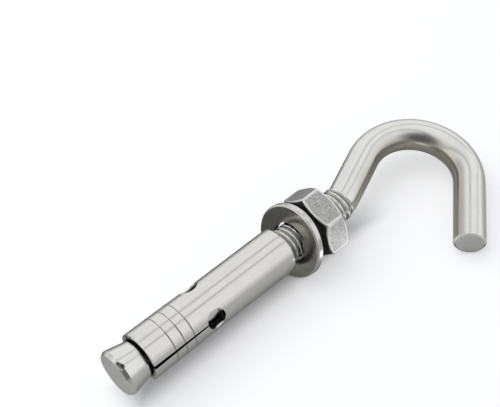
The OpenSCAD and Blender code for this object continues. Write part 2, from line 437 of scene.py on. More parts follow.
def rolled_thread():
    """Raises a helix on the skin of a bolt that carries station, turn and outward attributes."""
    tree, given = shape_tree("Rolled thread", ("Pitch", "Depth", "Start", "End", "Run-out"))
    station = attribute_node(tree, "station")
    turn = attribute_node(tree, "turn")
    outward = attribute_node(tree, "outward", "FLOAT_VECTOR")
    along = sum_node(tree, "SUBTRACT", station, given["Start"])
    lead = sum_node(tree, "SUBTRACT", sum_node(tree, "DIVIDE", along, given["Pitch"]), turn)
    sway = sum_node(tree, "ABSOLUTE", sum_node(tree, "SUBTRACT", sum_node(tree, "FRACT", lead), 0.5))
    ridge = mapped(tree, sway, *THREAD_FLANK, smooth=True)
    full_from = sum_node(tree, "ADD", given["Start"], given["Run-out"])
    full_to = sum_node(tree, "SUBTRACT", given["End"], given["Run-out"])
    rise = mapped(tree, station, given["Start"], full_from)
    fall = mapped(tree, station, full_to, given["End"], 1.0, 0.0)
    fade = sum_node(tree, "MULTIPLY", rise, fall)
    lift = sum_node(tree, "MULTIPLY", sum_node(tree, "SUBTRACT", ridge, 0.5), given["Depth"])
    lift = sum_node(tree, "MULTIPLY", lift, fade)
    # How deep in a root each point lies, stored for the painted shade in the thread roots
    root = sum_node(tree, "MULTIPLY", sum_node(tree, "SUBTRACT", 1.0, ridge), fade)
    inputs = {"Geometry": given["Mesh"], "Name": "thread_root", "Value": root}
    store = add_node(tree, "GeometryNodeStoreNamedAttribute", inputs)
    push = add_node(tree, "ShaderNodeVectorMath", {"Vector": outward, "Scale": lift}, operation="SCALE")
    inputs = {"Geometry": store.outputs["Geometry"], "Offset": push.outputs["Vector"]}
    move = add_node(tree, "GeometryNodeSetPosition", inputs)
    close_tree(tree, move.outputs["Geometry"], given["Material"])
    return tree


def rolled_sheet():
    """Rolls a flat blank, X along and Y round it, into a tube that flares towards its start."""
    tree, given = shape_tree("Rolled sheet", ("Radius", "Flare", "Flare length", "Seam"))
    along, round_it, lift = axes(tree, tree.nodes.new("GeometryNodeInputPosition").outputs["Position"])
    at = sum_node(tree, "ADD", sum_node(tree, "DIVIDE", round_it, given["Radius"]), given["Seam"])
    growth = mapped(tree, along, 0.0, given["Flare length"], given["Flare"], 0.0)
    radius = sum_node(tree, "ADD", sum_node(tree, "ADD", given["Radius"], growth), lift)
    y, z = (sum_node(tree, "MULTIPLY", radius, sum_node(tree, part, at)) for part in ("COSINE", "SINE"))
    joined = add_node(tree, "ShaderNodeCombineXYZ", {"X": along, "Y": y, "Z": z})
    inputs = {"Geometry": given["Mesh"], "Position": joined.outputs["Vector"]}
    move = add_node(tree, "GeometryNodeSetPosition", inputs)
    close_tree(tree, move.outputs["Geometry"], given["Material"])
    return tree


def repeat_round():
    """Repeats a sector round the X axis and welds the copies into one skin."""
    tree, given = shape_tree("Repeat round the bolt", ("Count", "Weld"))
    points = add_node(tree, "GeometryNodePoints", {"Count": given["Count"]})
    step = sum_node(tree, "DIVIDE", FULL_TURN, given["Count"])
    index = tree.nodes.new("GeometryNodeInputIndex").outputs["Index"]
    inputs = {"Axis": (1, 0, 0), "Angle": sum_node(tree, "MULTIPLY", index, step)}
    spin = add_node(tree, "FunctionNodeAxisAngleToRotation", inputs)
    inputs = {
        "Points": points.outputs[0],
        "Instance": given["Mesh"],
        "Rotation": spin.outputs["Rotation"],
    }
    copies = add_node(tree, "GeometryNodeInstanceOnPoints", inputs)
    real = add_node(tree, "GeometryNodeRealizeInstances", {"Geometry": copies.outputs["Instances"]})
    inputs = {"Geometry": real.outputs["Geometry"], "Distance": given["Weld"]}
    weld = add_node(tree, "GeometryNodeMergeByDistance", inputs)
    close_tree(tree, weld.outputs["Geometry"], given["Material"])
    return tree


# Materials


class Steel:
    """Node by node, a bare steel surface."""

    def __init__(self, name, base, roughness):
        self.material = bpy.data.materials.new(name)
        self.material.use_nodes = True
        self.tree = self.material.node_tree
        self.shader = self.tree.nodes["Principled BSDF"]
        self.shader.inputs["Metallic"].default_value = 1.0
        self.colour = (*base, 1.0)
        self.roughness = roughness

    def places(self, source, scale, turn=(0, 0, 0)):
        """Texture coordinates, scaled, and turned to the piece where a turn is given."""
        where = self.tree.nodes.new("ShaderNodeTexCoord").outputs[source]
        inputs = {"Vector": where, "Scale": scale, "Rotation": turn}
        return add_node(self.tree, "ShaderNodeMapping", inputs).outputs["Vector"]

    def noise(self, vector, detail=3.0, rough=0.55):
        """A noise value round one half."""
        inputs = {"Vector": vector, "Scale": 1.0, "Detail": detail, "Roughness": rough}
        return add_node(self.tree, "ShaderNodeTexNoise", inputs).outputs["Fac"]

    def attribute(self, label):
        """A point attribute of the mesh."""
        return add_node(self.tree, "ShaderNodeAttribute", attribute_name=label).outputs["Fac"]

    def mix(self, amount, other):
        """Blends the colour so far with another one."""
        self.colour = blended(self.tree, amount, self.colour, (*other, 1.0))

    def stain(self, pattern, low, high, most, other):
        """Blends in another colour, up to a share, where a pattern rises from low to high."""
        self.mix(mapped(self.tree, pattern, low, high, 0.0, most), other)

    def rougher(self, amount, change):
        """Adds a share of a change to the roughness so far."""
        self.roughness = sum_node(self.tree, "ADD", self.roughness, self.product(amount, change))

    def roughen(self, pattern, low, high, change):
        """Changes the roughness where a pattern rises from low to high."""
        self.rougher(mapped(self.tree, pattern, low, high), change)

    def product(self, one, other):
        """Two values multiplied."""
        return sum_node(self.tree, "MULTIPLY", one, other)

    def bump(self, height, millimetres):
        """Adds a relief to the surface."""
        normal = self.shader.inputs["Normal"]
        inputs = {"Strength": 1.0, "Distance": millimetres * MM, "Height": height}
        if normal.is_linked:
            inputs["Normal"] = normal.links[0].from_socket
        feed(self.tree, normal, add_node(self.tree, "ShaderNodeBump", inputs).outputs["Normal"])

    def done(self):
        """Links what was gathered and returns the material."""
        feed(self.tree, self.shader.inputs["Base Color"], self.colour)
        feed(self.tree, self.shader.inputs["Roughness"], self.roughness)
        return self.material


def darker(rgb, factor):
    """A colour scaled down."""
    return tuple(c * factor for c in rgb)


# Colours mixed in: a painted highlight for the tip's edge, the nut's worn edges, and painted shade for the
# crook's inner side
BRIGHT_EDGE = (1.0, 1.0, 0.98)
WORN_EDGE = (0.95, 0.95, 0.94)
CROOK_SHADE = (0.64, 0.62, 0.54)


def wire_steel(finish):
    """Drawn wire: streaks along it, grey sheared ends, and painted light: shade in the thread roots, the
    nick and the crook's inner side, a highlight on top of the tip's edge and shade below it.
    """
    steel = Steel("drawn_wire_steel", finish.wire, 0.13)
    streaks = steel.noise(steel.places("UV", (60, 2600, 1)), 4.0)
    clouds = steel.noise(steel.places("UV", (150, 180, 1)), 3.0)
    grain = steel.noise(steel.places("Object", (5200, 5200, 5200)), 2.0)
    torn = steel.noise(steel.places("Object", (1700, 1700, 1700)), 3.0, 0.65)
    root = steel.attribute("thread_root")
    cut = steel.attribute("cut_end")
    tip_edge = steel.attribute("tip_edge")
    steel.stain(streaks, 0.42, 0.72, 0.25, darker(finish.wire, 0.78))
    steel.stain(clouds, 0.45, 0.7, 0.25, darker(finish.wire, 0.85))
    # Painted shade on the crook's inner side
    steel.mix(steel.attribute("crook_inner_shade"), CROOK_SHADE)
    # Painted shade in the thread roots
    steel.stain(root, 0.35, 1.0, 0.75, darker(finish.wire, 0.22))
    steel.mix(cut, finish.cut)
    steel.mix(steel.product(cut, mapped(steel.tree, torn, 0.35, 0.65, 0.0, 0.5)), darker(finish.cut, 0.6))
    # Painted highlight along the top of the tip's edge, which also lightens its face, and painted shade
    # below the edge with a dark spot at its side
    steel.mix(tip_edge, BRIGHT_EDGE)
    steel.mix(steel.attribute("tip_under"), darker(finish.cut, 0.1))
    # Painted shade in the nick, darkest at its bottom and ragged with grain
    ragged = mapped(steel.tree, grain, 0.3, 0.6, 0.35, 1.0)
    steel.mix(steel.product(steel.attribute("nick_shade"), ragged), darker(finish.cut, 0.05))
    steel.rougher(tip_edge, 0.45)
    steel.roughen(streaks, 0.35, 0.7, 0.1)
    steel.roughen(clouds, 0.4, 0.7, 0.07)
    steel.rougher(root, 0.12)
    steel.rougher(cut, 0.22)
    steel.bump(streaks, 0.006)
    steel.bump(steel.product(grain, sum_node(steel.tree, "ADD", cut, 0.12)), 0.05)
    return steel.done()


def sheet_steel(finish):
    """Rolled sheet: fine lines along the sleeve, soft clouds, painted shade in the ring grooves and inside
    the tube.
    """
    steel = Steel("rolled_sheet_steel", finish.sheet, 0.12)
    lines = steel.noise(steel.places("UV", (90, 3000, 1)), 4.0)
    clouds = steel.noise(steel.places("UV", (110, 260, 1)), 3.0)
    grain = steel.noise(steel.places("Object", (4200, 4200, 4200)), 2.0)
    steel.stain(lines, 0.45, 0.75, 0.22, darker(finish.sheet, 0.8))
    steel.stain(clouds, 0.48, 0.72, 0.3, darker(finish.sheet, 0.88))
    steel.stain(grain, 0.42, 0.66, 0.2, darker(finish.sheet, 0.75))
    # Painted shade in the ring grooves, and inside the tube and on the walls of its openings
    steel.stain(steel.attribute("groove"), 0.1, 0.9, 0.8, darker(finish.sheet, 0.3))
    steel.stain(steel.attribute("inside"), 0.14, 0.42, 1.0, darker(finish.sheet, 0.06))
    steel.roughen(lines, 0.35, 0.7, 0.08)
    steel.roughen(clouds, 0.4, 0.7, 0.08)
    steel.bump(lines, 0.004)
    steel.bump(grain, 0.003)
    return steel.done()


def punched_steel(finish, turn):
    """Punched sheet: smooth faces with faint lines from the roll, darker than the other steel, partly their
    own tone and partly painted reflection of dark surroundings; a bright rim, and painted shade on the
    bore's wall.
    """
    steel = Steel("punched_sheet_steel", finish.punched, 0.14)
    lines = steel.noise(steel.places("Object", (900, 160, 900), turn), 4.0)
    clouds = steel.noise(steel.places("Object", (320, 320, 320)), 3.0)
    steel.stain(clouds, 0.42, 0.7, 0.5, darker(finish.punched, 0.7))
    steel.mix(steel.attribute("rim"), darker(finish.sheet, 0.88))
    # Painted shade on the bore's wall
    steel.mix(steel.attribute("bore"), darker(finish.punched, 0.05))
    steel.roughen(clouds, 0.4, 0.7, 0.1)
    steel.roughen(lines, 0.4, 0.7, 0.06)
    steel.bump(lines, 0.01)
    return steel.done()


def forged_steel(finish):
    """Tumbled nut: fine bright and dark grain all over, worn bright edges, and painted shade on the face
    towards the washer.
    """
    steel = Steel("tumbled_nut_steel", finish.forged, 0.34)
    grain = steel.noise(steel.places("Object", (2600, 2600, 2600)), 3.0, 0.7)
    clouds = steel.noise(steel.places("Object", (420, 420, 420)), 3.0)
    worn = steel.attribute("worn")
    steel.stain(grain, 0.4, 0.62, 0.85, darker(finish.forged, 0.42))
    steel.stain(clouds, 0.45, 0.7, 0.35, darker(finish.forged, 0.8))
    # Painted shade on the face towards the washer
    steel.mix(steel.attribute("washer_side_shade"), darker(finish.forged, 0.09))
    steel.mix(worn, WORN_EDGE)
    steel.roughen(grain, 0.35, 0.65, 0.14)
    steel.rougher(worn, -0.1)
    steel.bump(grain, 0.045)
    return steel.done()


# Hook bolt

# Rounding at each corner of the bolt's profile between its two ends, in millimetres
BOLT_ROUNDING = (0.1, 0.16, 0.3, 0.25, 0, 0, 0, 0.2, 0.2, 0.1, 0)
# Length of the thread before the neck that the sleeve doesn't cover
BARE_THREAD = 23 * MM
# Width of the plug's end that takes the finest rows, and of the ring that bounds the tip's face
RIM_ZONE = 2 * MM
TIP_RING = 0.25 * MM
# How near an end a ring counts as part of its face, and how far the tip's edge, with its painted highlight
# and shade, reaches inwards
FLUSH = 0.02 * MM
EDGE_REACH = 0.12 * MM
# Length over which the hook's inner side takes on its painted shade, and how squarely it then faces inwards
CROOK_SHADE_RUN = 6 * MM
CROOK_SHADE_FACING = (0.25, 0.95)
# Length of the tip that counts as its edge, in chamfers
EDGE_CHAMFERS = 1.5
# Heights on the tip's edge, in radii: where its painted highlight rises, where its painted shade darkens it
# below, and a dark spot at its side
BRIGHT_FROM = (-0.2, 0.133)
DARK_FROM = (0.133, 0.467)
SPOT_AT, SPOT_HALF = -0.05, 0.13
# Share of the edge's bright colour that the tip's face takes
FACE_SHARE = 0.5
# Blows that made the nick: shift along in nick radii, shift round in radians, share of its radius
NICK_BLOWS = ((-0.22, -0.075, 0.8), (0.2, 0.06, 0.72))
# Depth at which the painted shade in the nick is darkest
NICK_DARK = 0.3 * MM
BOLT_CREASE = math.radians(50)


class CentreLine:
    """The bolt's centre line, from the plug's end face to the end of the hook."""

    def __init__(self, bolt):
        self.runs = [
            (bolt.neck_x, 0.0),
            (bolt.neck_r * bolt.neck_turn, 1 / bolt.neck_r),
            (bolt.neck_len, 0.0),
            (bolt.crook_r * bolt.crook_turn, -1 / bolt.crook_r),
            (bolt.tip_len, 0.0),
        ]
        self.total = sum(run for run, _ in self.runs)

    def at(self, station):
        """Place and heading at a station; the first and last runs go on past their ends."""
        x = y = heading = 0.0
        for i, (run, bend) in enumerate(self.runs):
            last = i == len(self.runs) - 1
            part = station if last else min(station, run)
            if bend:
                end = heading + bend * part
                x += (math.sin(end) - math.sin(heading)) / bend
                y += (math.cos(heading) - math.cos(end)) / bend
                heading = end
            else:
                x += part * math.cos(heading)
                y += part * math.sin(heading)
            station -= part
            if station <= 0:
                break
        return x, y, heading


def bolt_profile(bolt, line):
    """Station and radius all along the bolt, from the middle of one end to the middle of the other."""
    plug_r, wire_r, thread_r = bolt.plug_d / 2, bolt.wire_d / 2, bolt.thread_d / 2
    plug_end = bolt.plug_len + bolt.shoulder_len
    corners = [
        (0, 0),
        (0, plug_r - bolt.rim_w),
        (bolt.rim_len, plug_r),
        (bolt.plug_len, bolt.plug_neck_d / 2),
        (plug_end, wire_r),
        (bolt.thread_x - bolt.run_out, wire_r),
        (bolt.thread_x, thread_r),
        (bolt.thread_end - bolt.run_out, thread_r),
        (bolt.thread_end, wire_r),
        (line.total - bolt.tip_chamfer, wire_r),
        (line.total, wire_r - bolt.tip_chamfer),
        (line.total, wire_r - bolt.tip_chamfer - TIP_RING),
        (line.total, 0),
    ]
    # Longest step in millimetres up to each station
    steps = (
        (RIM_ZONE, 0.14),
        (bolt.plug_len, 0.4),
        (bolt.thread_x - bolt.run_out, 2.5),
        (bolt.neck_x - BARE_THREAD, 0.25),
        (bolt.thread_end, 0.1),
        (line.total - bolt.tip_len, 0.6),
        (math.inf, 2.5),
    )

    def spacing(station):
        return next(step * MM for end, step in steps if station < end)

    return filled(rounded(corners, [r * MM for r in BOLT_ROUNDING]), spacing)


def cut_ends_and_painted_light(bolt, line, s, r, cosine, sine):
    """What the steel shows on one ring: cut ends, painted shade on the crook's inner side, and on the tip's
    edge a painted highlight above and painted shade below.
    """
    tip_face = bolt.wire_d / 2 - bolt.tip_chamfer
    on_plug_face = s < FLUSH and r < bolt.plug_d / 2 - bolt.rim_w
    on_tip_face = s > line.total - FLUSH and r < tip_face
    on_tip_edge = s > line.total - bolt.tip_chamfer * EDGE_CHAMFERS and r > tip_face - EDGE_REACH
    dark_spot = (np.abs(sine - SPOT_AT) < SPOT_HALF) & (cosine > 0)
    on_hook = ramp(s, bolt.thread_end, bolt.thread_end + CROOK_SHADE_RUN)
    return {
        "cut_end": np.full_like(sine, on_plug_face or on_tip_face),
        "crook_inner_shade": on_hook * ramp(-cosine, *CROOK_SHADE_FACING),
        "tip_edge": np.maximum(on_tip_edge * ramp(sine, *BRIGHT_FROM), on_tip_face * FACE_SHARE),
        "tip_under": on_tip_edge * np.maximum(ramp(-sine, *DARK_FROM), dark_spot),
    }


def bolt_skin(bolt, around=128):
    """The bolt's smooth skin, with its dented rim and the attributes that the thread and the steel need."""
    line = CentreLine(bolt)
    profile = bolt_profile(bolt, line)
    turns = np.arange(around) / around
    cosine, sine = np.cos(FULL_TURN * turns), np.sin(FULL_TURN * turns)
    vertices, outward, marks = [], [], {}
    for s, r in profile:
        x, y, heading = line.at(s)
        side = np.array((-math.sin(heading), math.cos(heading), 0.0))
        spokes = cosine[:, None] * side + sine[:, None] * np.array((0.0, 0.0, 1.0))
        count = 1 if r < MERGE else around
        vertices.append((np.array((x, y, 0.0)) + r * spokes)[:count])
        outward.append(spokes[:count])
        ring = {"station": np.full(around, s), "turn": turns, **cut_ends_and_painted_light(bolt, line, s, r, cosine, sine)}
        for label, values in ring.items():
            marks.setdefault(label, []).append(values[:count])
    vertices, nick_shade = dented(np.vstack(vertices), bolt)
    attributes = {label: ("FLOAT", np.concatenate(values)) for label, values in marks.items()}
    attributes["nick_shade"] = ("FLOAT", nick_shade)
    attributes["outward"] = ("FLOAT_VECTOR", np.vstack(outward))
    faces, uv = bolt_faces(profile, around, bolt.wire_d / 2 * FULL_TURN)
    return vertices, faces, attributes, uv


def bolt_faces(profile, around, arc):
    """Faces between the rings, closed by a fan at each end, with their unrolled places."""
    rows = len(profile)
    lengths = [np.linalg.norm(b - a) for a, b in zip(profile, profile[1:])]
    travel = np.concatenate(([0], np.cumsum(lengths)))
    faces, uv = [], []

    def corner(row, column):
        if row == 0:
            return 0
        if row == rows - 1:
            return 1 + (rows - 2) * around
        return 1 + (row - 1) * around + column % around

    for row in range(rows - 1):
        for column in range(around):
            spots = [(row, column), (row, column + 1), (row + 1, column + 1), (row + 1, column)]
            if row == 0:
                del spots[1]
            if row == rows - 2:
                del spots[2]
            faces.append([corner(*spot) for spot in spots])
            uv += [(travel[i], arc * j / around) for i, j in spots]
    return faces, uv


def dented(vertices, bolt):
    """Presses the dent into the plug's rim, and says how deep each point lies in it, for the painted shade
    in the dent.
    """
    deep = np.zeros(len(vertices))
    for along, aside, size in NICK_BLOWS:
        radius = bolt.nick_r * size
        reach = bolt.plug_d / 2 - bolt.rim_w / 2 + radius - bolt.nick_depth
        at = bolt.nick_at + aside
        station = bolt.rim_len / 2 + bolt.nick_r * along
        middle = np.array((station, reach * math.cos(at), reach * math.sin(at)))
        away = vertices - middle
        distance = np.linalg.norm(away, axis=1, keepdims=True)
        vertices = np.where(distance < radius, middle + away / distance * radius, vertices)
        deep = np.maximum(deep, (radius - distance[:, 0]) / NICK_DARK)
    return vertices, np.clip(deep, 0, 1)


class ANCHOR_OT_hook_bolt(bpy.types.Operator):
    """Build the hook bolt: plug, shank, rolled thread and hook in one piece"""

    bl_idname = "anchor.hook_bolt"
    bl_label = "Hook bolt"

    def execute(self, context):
        settings = context.scene.hook_anchor
        bolt = settings.bolt
        vertices, faces, attributes, uv = bolt_skin(bolt)
        piece = new_piece("bolt_with_hook", vertices, faces, attributes, uv)
        values = {
            "Pitch": bolt.pitch,
            "Depth": bolt.thread_depth,
            "Start": bolt.thread_x,
            "End": bolt.thread_end,
            "Run-out": bolt.run_out,
            "Material": wire_steel(settings.steel),
        }
        shape_with(piece, rolled_thread(), values)
        settle(piece)
        for label in ("station", "turn", "outward"):
            piece.data.attributes.remove(piece.data.attributes[label])
        piece.data.set_sharp_from_angle(angle=BOLT_CREASE)
        hand_over(piece, bolt_place(settings.nut), "hook_bolt", "hook_bolt")
        return {"FINISHED"}


# Sleeve

# Rows of a ring groove: place in half widths and share of the groove's depth
GROOVE_ROWS = ((-1.4, 0), (-1, 0), (-0.5, 0.75), (0, 1), (0.5, 0.75), (1, 0), (1.4, 0))
# Longest steps along the petals and the plain tube, and round the holes
PETAL_STEP = 1.2 * MM
TUBE_STEP = 1.6 * MM
HOLE_STEP = math.radians(5)
# Length of the end faces, and the share of the inside's painted shade that they take
END_ZONE = 0.3 * MM
END_SHARE = 0.45
EDGE_ANGLE = math.radians(60)


def slit_half(sleeve, x, seam):
    """Half the width of the opening on a slit's line at a distance from the split end."""
    hole_r = sleeve.hole_d / 2
    off = abs(x - sleeve.slit_len)
    in_hole = math.sqrt(max(0.0, hole_r**2 - off**2))
    past = sleeve.seam_w / 2 if seam else 0.0
    if x > sleeve.slit_len:
        return max(in_hole, past)
    along = x / (sleeve.slit_len - hole_r)
    return max(in_hole, (sleeve.slit_end_w + (sleeve.slit_hole_w - sleeve.slit_end_w) * along) / 2)


def sleeve_stations(sleeve):
    """Distances from the split end at which the blank has its rows, and the groove depth at each."""
    hole_r = sleeve.hole_d / 2
    half = sleeve.groove_w / 2
    flats, grooves, last = [0.0], {}, 0.0
    for i in range(sleeve.groove_count):
        middle = sleeve.groove_x + i * sleeve.groove_pitch
        groove = {middle + half * step: float(depth) for step, depth in GROOVE_ROWS}
        flats += list(spread(last, min(groove), PETAL_STEP)[1:])
        grooves.update(groove)
        last = max(groove)
    flats += list(spread(last, sleeve.slit_len - hole_r, PETAL_STEP)[1:])
    flats += [sleeve.slit_len - hole_r * math.cos(t) for t in spread(0, math.pi, HOLE_STEP)]
    flats += list(spread(sleeve.slit_len + hole_r, sleeve.length, TUBE_STEP)[1:])
    rows = {float(x): 0.0 for x in flats} | grooves
    return sorted(rows.items())


def sleeve_blank(sleeve, petals=3, columns=44):
    """The flat blank: X along it, Y round it from the seam, with its slits, holes and groove depths."""
    radius = sleeve.diameter / 2
    rows = sleeve_stations(sleeve)
    vertices, groove, faces, uv = [], [], [], []
    for petal in range(petals):
        base = len(vertices)
        for x, depth in rows:
            low = math.asin(slit_half(sleeve, x, petal == 0) / radius)
            high = math.asin(slit_half(sleeve, x, petal == petals - 1) / radius)
            start = FULL_TURN * petal / petals + low
            end = FULL_TURN * (petal + 1) / petals - high
            for at in np.linspace(start, end, columns + 1):
                vertices.append((x, at * radius, -depth * sleeve.groove_depth))
                groove.append(depth)
        for row in range(len(rows) - 1):
            for column in range(columns):
                a = base + row * (columns + 1) + column
                face = [a, a + 1, a + columns + 2, a + columns + 1]
                faces.append(face)
                uv += [vertices[i][:2] for i in face]
    return vertices, faces, {"groove": ("FLOAT", groove)}, uv


def mark_inside(mesh, sleeve):
    """Marks the inside of the tube and the walls of its openings, where little light comes."""
    spots = np.empty(len(mesh.vertices) * 3, np.float32)
    mesh.vertices.foreach_get("co", spots)
    spots = spots.reshape(-1, 3)
    growth = np.clip(1 - spots[:, 0] / sleeve.slit_len, 0, 1) * sleeve.flare / 2
    below = sleeve.diameter / 2 + growth - np.hypot(spots[:, 1], spots[:, 2])
    at_end = np.abs(spots[:, 0] - sleeve.length / 2) > sleeve.length / 2 - END_ZONE
    inside = np.clip(below / sleeve.wall, 0, 1) * np.where(at_end, END_SHARE, 1.0)
    mesh.attributes.new("inside", "FLOAT", "POINT").data.foreach_set("value", inside.astype(np.float32))


class ANCHOR_OT_sleeve(bpy.types.Operator):
    """Build the expansion sleeve: a slit and holed blank, rolled up and given its wall"""

    bl_idname = "anchor.sleeve"
    bl_label = "Expansion sleeve"

    def execute(self, context):
        settings = context.scene.hook_anchor
        sleeve = settings.sleeve
        vertices, faces, attributes, uv = sleeve_blank(sleeve)
        piece = new_piece("split_sleeve", vertices, faces, attributes, uv)
        weld = piece.modifiers.new("Weld", "WELD")
        weld.merge_threshold = MERGE
        values = {
            "Radius": sleeve.diameter / 2,
            "Flare": sleeve.flare / 2,
            "Flare length": sleeve.slit_len,
            "Seam": sleeve.slit_at,
            "Material": sheet_steel(settings.steel),
        }
        shape_with(piece, rolled_sheet(), values)
        wall = piece.modifiers.new("Wall", "SOLIDIFY")
        wall.thickness = sleeve.wall
        wall.offset = -1
        edge = piece.modifiers.new("Edge", "BEVEL")
        edge.width = sleeve.edge
        edge.segments = 3
        edge.limit_method = "ANGLE"
        edge.angle_limit = EDGE_ANGLE
        edge.use_clamp_overlap = True
        even_normals(piece)
        settle(piece)
        mark_inside(piece.data, sleeve)
        place = bolt_place(settings.nut) @ Matrix.Translation((sleeve.start_x, 0, 0))
        hand_over(piece, place, "sleeve", "sleeve")
        return {"FINISHED"}


# Washer

# Rounding at the washer's other corners: far rim, far and near edge of the bore
WASHER_ROUNDING = (0.14 * MM, 0.3 * MM, 0.16 * MM)
WASHER_SIDES = 160
ROUNDING_STEPS = 7
# How much of the rim's rounding is bright, and how thick the bore's wall with its painted shade is
BRIGHT_SHARE = 0.9
BORE_WALL = 0.1 * MM


def ring_skin(profile, around):
    """A closed skin spun round X from a closed profile of radius and station."""
    spots = np.arange(around) * FULL_TURN / around
    vertices, faces = [], []
    for r, x in profile:
        vertices += [(x, r * math.cos(a), r * math.sin(a)) for a in spots]
    rows = len(profile)
    for row in range(rows):
        for column in range(around):
            across, next_row = (column + 1) % around, (row + 1) % rows
            a, b = row * around + column, next_row * around + column
            c, d = next_row * around + across, row * around + across
            faces.append([a, d, c, b])
    return vertices, faces


class ANCHOR_OT_washer(bpy.types.Operator):
    """Build the flat washer, punched from sheet and leaning on the thread"""

    bl_idname = "anchor.washer"
    bl_label = "Washer"

    def execute(self, context):
        settings = context.scene.hook_anchor
        washer = settings.washer
        half, r, bore = washer.thickness / 2, washer.diameter / 2, washer.bore_d / 2
        middle = (r + bore) / 2
        corners = [(middle, -half), (r, -half), (r, half), (bore, half), (bore, -half), (middle, -half)]
        profile = rounded(corners, (washer.rounding, *WASHER_ROUNDING), ROUNDING_STEPS)[:-1]
        vertices, faces = ring_skin(profile, WASHER_SIDES)
        radii = np.repeat([spot[0] for spot in profile], WASHER_SIDES)
        # The bright rim, and the bore's wall that takes painted shade
        rim, wall = radii > r - washer.rounding * BRIGHT_SHARE, radii < bore + BORE_WALL
        attributes = {"rim": ("FLOAT", rim), "bore": ("FLOAT", wall)}
        piece = new_piece("flat_washer", vertices, faces, attributes)
        place = bolt_place(settings.nut) @ Matrix.Translation((washer.middle_x, 0, 0))
        turned = place @ Matrix.Rotation(washer.lean, 4, "Y")
        piece.data.materials.append(punched_steel(settings.steel, turned.to_euler()))
        even_normals(piece)
        settle(piece)
        hand_over(piece, turned, "washer", "washer")
        return {"FINISHED"}


# Nut

# Rounding at each corner of the nut's profile, from its bore round to its bore, in millimetres
NUT_ROUNDING = (0.1, 0.12, 0.25, 0.25, 0.25, 0.25, 0.12, 0.1)
# Corners of the profile that are worn bright: where the flats meet the chamfers
WORN_CORNERS = (4, 5)
# Share of a side that its corner's rounding and flat row may take
SIDE_ROOM = 0.48
# How far the painted shade on the washer's side reaches: share of the chamfer's drop, and a little more
DARK_DROP = 0.75
DARK_MORE = 0.05 * MM
NUT_SIDES = 6


def nut_outline(points, reaches, inset=0.35 * MM, steps=4):
    """The nut's profile with rounded corners: radius, station and one where the edge is worn bright."""
    profile = [(*points[0], 0.0)]
    for i, reach in enumerate(reaches, 1):
        before, corner, after = (np.array(p) for p in points[i - 1 : i + 2])
        into_room, out_room = (np.linalg.norm(p - corner) for p in (before, after))
        into, out = (before - corner) / into_room, (after - corner) / out_room
        into_room, out_room = into_room * SIDE_ROOM, out_room * SIDE_ROOM
        reach = min(reach, into_room / 2, out_room / 2)
        profile.append((*(corner + into * min(reach + inset, into_room)), 0.0))
        for t in np.linspace(0, 1, steps):
            spot = corner + reach * ((1 - t) ** 2 * into + t**2 * out)
            profile.append((*spot, float(i in WORN_CORNERS)))
        profile.append((*(corner + out * min(reach + inset, out_room)), 0.0))
    profile.append((*points[-1], 0.0))
    return profile


def nut_sector(nut, flat_steps=14, corner_steps=9):
    """One sector of the nut, from the middle of one flat to the middle of the next."""
    flat_r, face_r, bore_r = nut.flats / 2, nut.face_d / 2, nut.bore_d / 2
    slope = math.tan(nut.chamfer)
    half = math.pi / NUT_SIDES
    centre = (flat_r - nut.corner) / math.cos(half)
    meet = math.atan2(nut.corner * math.sin(half), centre + nut.corner * math.cos(half))
    flat = np.linspace(meet, half, flat_steps)
    spots = [*-flat[::-1], *np.linspace(-meet, meet, corner_steps)[1:-1], *flat]
    rows, worn, washer_side_shade = [], [], []
    for spot in spots:
        if abs(spot) > meet:
            side = flat_r / math.cos(half - abs(spot))
        else:
            side = centre * math.cos(spot) + math.sqrt(nut.corner**2 - (centre * math.sin(spot)) ** 2)
        drop = (side - face_r) * slope
        top = nut.height
        points = [
            (bore_r, top / 2),
            (bore_r, nut.countersink),
            (bore_r + nut.countersink, 0),
            (face_r, 0),
            (side, drop),
            (side, top - drop),
            (face_r, top),
            (bore_r + nut.countersink, top),
            (bore_r, top - nut.countersink),
            (bore_r, top / 2),
        ]
        profile = nut_outline(points, [r * MM for r in NUT_ROUNDING])
        rows.append([(x, r * math.cos(spot), r * math.sin(spot)) for r, x, _ in profile])
        on_corner = abs(spot) <= meet
        worn += [max(edge, float(on_corner and drop < x < top - drop)) for _, x, edge in profile]
        # Where the painted shade of the washer's side lies
        washer_side_shade += [float(x < drop * DARK_DROP + DARK_MORE) for _, x, _ in profile]
    count = len(rows[0])
    vertices = [v for row in rows for v in row]
    faces = []
    for row in range(len(rows) - 1):
        for i in range(count - 1):
            a = row * count + i
            faces.append([a, a + count, a + count + 1, a + 1])
    return vertices, faces, {"worn": ("FLOAT", worn), "washer_side_shade": ("FLOAT", washer_side_shade)}


class ANCHOR_OT_nut(bpy.types.Operator):
    """Build the hexagon nut from one corner, repeated round the bolt"""

    bl_idname = "anchor.nut"
    bl_label = "Hexagon nut"

    def execute(self, context):
        settings = context.scene.hook_anchor
        nut = settings.nut
        vertices, faces, attributes = nut_sector(nut)
        piece = new_piece("hexagon_nut", vertices, faces, attributes)
        values = {"Count": float(NUT_SIDES), "Weld": MERGE, "Material": forged_steel(settings.steel)}
        shape_with(piece, repeat_round(), values)
        even_normals(piece)
        settle(piece)
        place = bolt_place(nut) @ Matrix.Translation((nut.start_x, 0, 0))
        place = place @ Matrix.Rotation(nut.turn, 4, "X")
        hand_over(piece, place, "nut", "nut")
        return {"FINISHED"}


# Stage

FLOOR_HALF = 2.0


def backdrop_rays(tree):
    """One for the rays that should meet the white backdrop: camera, glossy and transmission rays."""
    path = tree.nodes.new("ShaderNodeLightPath")
    seen = sum_node(tree, "MAXIMUM", path.outputs["Is Camera Ray"], path.outputs["Is Glossy Ray"])
    return sum_node(tree, "MAXIMUM", seen, path.outputs["Is Transmission Ray"])


